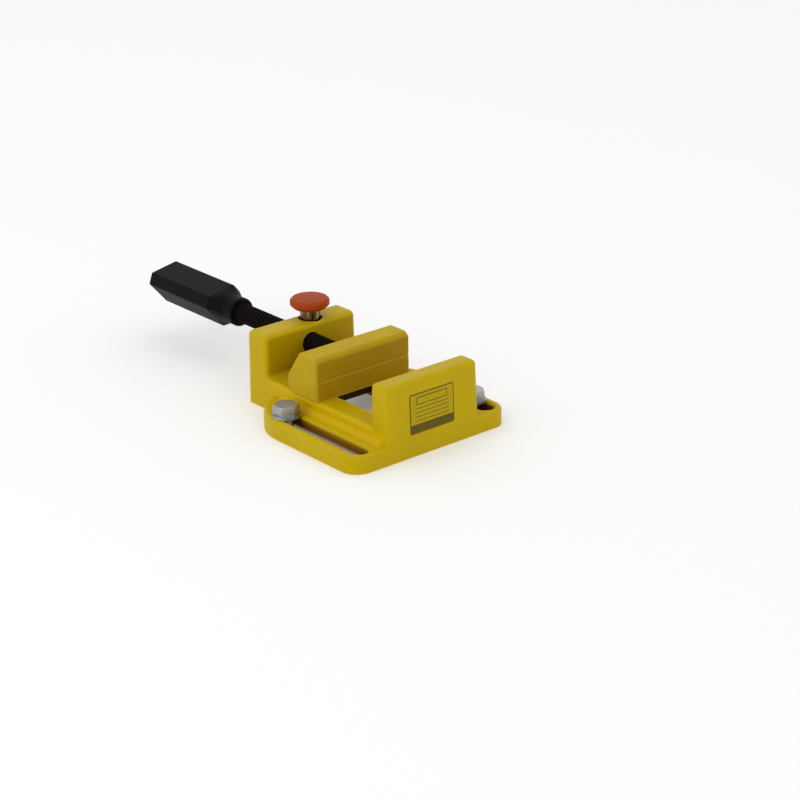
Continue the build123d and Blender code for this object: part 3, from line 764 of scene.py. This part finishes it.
def label_piece(name, width, height, thickness, gap, middle_z, corner, finish):
    bpy.ops.object.select_all(action="DESELECT")
    bpy.ops.mesh.primitive_cube_add(size=1.0)
    piece = bpy.context.object
    piece.name = name
    bpy.ops.object.mode_set(mode="EDIT")
    bpy.ops.mesh.select_mode(type="EDGE")
    bpy.ops.mesh.select_all(action="SELECT")
    bpy.ops.transform.resize(value=(width, thickness, height))
    bpy.ops.mesh.select_all(action="DESELECT")
    bpy.ops.object.mode_set(mode="OBJECT")
    for edge in piece.data.edges:
        ends = [piece.data.vertices[index].co for index in edge.vertices]
        edge.select = abs(ends[0].y - ends[1].y) > thickness / 2
    bpy.ops.object.mode_set(mode="EDIT")
    bpy.ops.mesh.bevel(offset=corner, segments=4, affect="EDGES")
    bpy.ops.mesh.select_all(action="SELECT")
    bpy.ops.transform.translate(value=(0, -gap - thickness / 2, 0))
    bpy.ops.transform.rotate(value=draft, orient_axis="X", center_override=(0, 0, 0))
    bpy.ops.transform.translate(
        value=(label_middle[0], jaw_front + (middle_z - jaw_foot) * math.tan(draft), middle_z)
    )
    bpy.ops.object.mode_set(mode="OBJECT")
    piece.data.materials.append(finish)
    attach(piece, "base")
    print(name, round(width / MM, 2), "by", round(height / MM, 2), "mm")


# %% [markdown]
# The foil is printed in two inks. Dark ink has worn in spots of about 2.5 mm, and the yellow
# has faded in patches of about 5 mm. Print on foil is smooth, and its varnish shines a little.

# %% Printed foil
label_ink = new_material("dark_printed_foil")
tree = label_ink.node_tree
place = add_node(tree, "ShaderNodeTexCoord").outputs["Object"]
ink_wear = add_node(tree, "ShaderNodeTexNoise", {"Vector": place, "Scale": wavelength(2.5), "Detail": 4.0})
ink_colour = add_node(
    tree,
    "ShaderNodeMix",
    {"Factor": ink_wear.outputs["Fac"], 6: linear_colour("#50420C"), 7: linear_colour("#746218")},
    data_type="RGBA",
)
shader = add_node(
    tree,
    "ShaderNodeBsdfPrincipled",
    {"Base Color": ink_colour.outputs[2], "Roughness": 0.45, "IOR": 1.45, "Specular IOR Level": 0.15},
)
add_node(tree, "ShaderNodeOutputMaterial", {"Surface": shader.outputs["BSDF"]})
label_yellow = new_material("yellow_printed_foil")
tree = label_yellow.node_tree
place = add_node(tree, "ShaderNodeTexCoord").outputs["Object"]
fading = add_node(tree, "ShaderNodeTexNoise", {"Vector": place, "Scale": wavelength(5.0), "Detail": 3.0})
field_colour = add_node(
    tree,
    "ShaderNodeMix",
    {"Factor": fading.outputs["Fac"], 6: linear_colour("#B09804"), 7: linear_colour("#BEA60A")},
    data_type="RGBA",
)
shader = add_node(
    tree,
    "ShaderNodeBsdfPrincipled",
    {"Base Color": field_colour.outputs[2], "Roughness": 0.4, "IOR": 1.45, "Specular IOR Level": 0.12},
)
add_node(tree, "ShaderNodeOutputMaterial", {"Surface": shader.outputs["BSDF"]})
print("two inks for the label")

# %% [markdown]
# Each layer has its size, its thickness, its gap from the jaw, the height of its middle and
# the radius of its corners. A gap of a hundredth of a millimetre keeps a layer clear of the
# one below it.

# %% Layers of the label
label_width, label_height, label_frame_width, label_band = 31.0 * MM, 22.5 * MM, 0.6 * MM, 5.2 * MM
field_width = label_width - 2 * label_frame_width
field_height = label_height - label_frame_width - label_band
field_middle = label_middle[1] + (label_band - label_frame_width) / 2
title_width, title_height, title_frame_width = 21.6 * MM, 4.4 * MM, 0.5 * MM
title_middle = field_middle + 4.6 * MM
inner_title = (title_width - 2 * title_frame_width, title_height - 2 * title_frame_width)
for name, width, height, thickness, gap, middle_z, corner, finish, slot in (
    ("label_foil", label_width, label_height, 0.12, 0.02, label_middle[1], 0.9, label_ink, "black_plastic"),
    ("label_field", field_width, field_height, 0.04, 0.15, field_middle, 0.4, label_yellow, "yellow_paint"),
    ("title_box", title_width, title_height, 0.03, 0.2, title_middle, 0.3, label_ink, "black_plastic"),
    ("title_field", *inner_title, 0.03, 0.24, title_middle, 0.2, label_yellow, "yellow_paint"),
):
    label_piece(name, width, height, thickness * MM, gap * MM, middle_z, corner * MM, finish)

# %% [markdown]
# The four writing lines are equal, so a loop lays them 2.3 mm apart below the title box.

# %% Writing lines
line_width, line_height, line_spacing = 24.0 * MM, 0.35 * MM, 2.3 * MM
line_thickness, line_gap, line_corner = 0.03 * MM, 0.2 * MM, 0.1 * MM
first_line = title_middle - 4.2 * MM
for line in range(4):
    label_piece(
        f"writing_line_{line + 1}",
        line_width,
        line_height,
        line_thickness,
        line_gap,
        first_line - line * line_spacing,
        line_corner,
        label_ink,
    )

# %% [markdown]
# Floor and world both have to know whether they are seen, by the camera itself, in a
# reflection or through glass. The same three answers of the Light Path node say so.

# %% A function that tells what is seen
def seen_share(tree):
    ray = add_node(tree, "ShaderNodeLightPath").outputs
    seen = add_node(
        tree, "ShaderNodeMath", {0: ray["Is Camera Ray"], 1: ray["Is Glossy Ray"]}, operation="MAXIMUM"
    )
    seen = add_node(
        tree, "ShaderNodeMath", {0: seen.outputs[0], 1: ray["Is Transmission Ray"]}, operation="MAXIMUM"
    )
    return seen.outputs[0]


print("floor and world are whiter where they are seen")

# %% [markdown]
# ## Floor and backdrop
# The vise stands on a plain pale floor that is large enough to fill the picture. The floor
# is a matt white that takes the vise's soft shadow. Where a camera ray, a reflection or a
# refraction meets it, a little of its own light lifts it to the white of the backdrop.

# %% Studio floor
floor_size, floor_glow = 6.0, 0.15
bpy.ops.object.select_all(action="DESELECT")
bpy.ops.mesh.primitive_plane_add(size=floor_size, location=(0, 0, solid_box[0][2]))
floor = bpy.context.object
floor.name = "studio_floor"
studio_white = new_material("matt_white_floor")
tree = studio_white.node_tree
lift = add_node(tree, "ShaderNodeMath", {0: seen_share(tree), 1: floor_glow}, operation="MULTIPLY")
shader = add_node(
    tree,
    "ShaderNodeBsdfPrincipled",
    {
        "Base Color": linear_colour("#F6F6F5"),
        "Roughness": 0.9,
        "Emission Color": linear_colour("#FFFFFF"),
        "Emission Strength": lift.outputs[0],
    },
)
add_node(tree, "ShaderNodeOutputMaterial", {"Surface": shader.outputs["BSDF"]})
floor.data.materials.append(studio_white)
print("floor", floor_size, "m wide")

# %% [markdown]
# ## World
# The world stands for the walls of a light tent. It lights the vise a little below full
# white, so that pale surfaces don't clip, and is full white where it is seen.

# %% World
world = bpy.data.worlds.new("studio_world")
world.use_nodes = True
tree = world.node_tree
tree.nodes.clear()
sky_level = 0.82
level = add_node(
    tree, "ShaderNodeMapRange", {"Value": seen_share(tree), "To Min": sky_level, "To Max": 1.0}
)
background = add_node(
    tree,
    "ShaderNodeBackground",
    {"Color": linear_colour("#FFFFFF"), "Strength": level.outputs["Result"]},
)
add_node(tree, "ShaderNodeOutputWorld", {"Surface": background.outputs["Background"]})
bpy.context.scene.world = world
print("world light", sky_level, "and white where it is seen")

# %% [markdown]
# ## Lamp
# The sky gives most of the light, as a photographer's light tent does. One large soft lamp
# stands high on the left, where the bright sides of the vise look.

# %% Soft lamp
lamp_data = bpy.data.lights.new("key_lamp", "AREA")
lamp_data.shape = "SQUARE"
lamp_data.size = 1.4
lamp_data.energy = 6.0
lamp = bpy.data.objects.new("key_lamp", lamp_data)
bpy.context.scene.collection.objects.link(lamp)
lamp.location = (-1.6, 0.1, 1.25)
lamp_target = Vector((0, 0.05, 0.02))
lamp.rotation_euler = (lamp_target - lamp.location).to_track_quat("-Z", "Y").to_euler()
print("key lamp", lamp_data.energy, "W at", list(lamp.location))

# %% [markdown]
# ## Camera
# The camera stands at the left front, 22 degrees above the vise, with a long lens, so that
# edges which are parallel on the vise stay nearly parallel in the picture.

# %% Camera
view_azimuth = math.radians(-40.04388)
view_elevation = math.radians(22.44522)
view_roll = math.radians(-0.75119)
view_distance = 1203.738 * MM
aim = Vector((0, 20, 25)) * MM
aim_offset = (20.8391 * MM, -13.2411 * MM)
back = Vector(
    (
        math.sin(view_azimuth) * math.cos(view_elevation),
        -math.cos(view_azimuth) * math.cos(view_elevation),
        math.sin(view_elevation),
    )
)
right = Vector((math.cos(view_azimuth), math.sin(view_azimuth), 0))
up = back.cross(right)
rolled_right = math.cos(view_roll) * right + math.sin(view_roll) * up
rolled_up = math.cos(view_roll) * up - math.sin(view_roll) * right
camera_data = bpy.data.cameras.new("camera")
camera_data.sensor_width = 36.0
camera_data.lens = 97.954
camera = bpy.data.objects.new("camera", camera_data)
bpy.context.scene.collection.objects.link(camera)
eye = aim + view_distance * back + aim_offset[0] * rolled_right + aim_offset[1] * rolled_up
camera.matrix_world = Matrix(
    (
        (rolled_right.x, rolled_up.x, back.x, eye.x),
        (rolled_right.y, rolled_up.y, back.y, eye.y),
        (rolled_right.z, rolled_up.z, back.z, eye.z),
        (0, 0, 0, 1),
    )
)
bpy.context.scene.camera = camera
bpy.context.scene.view_settings.view_transform = "Standard"
print("camera at", [round(c, 3) for c in eye])
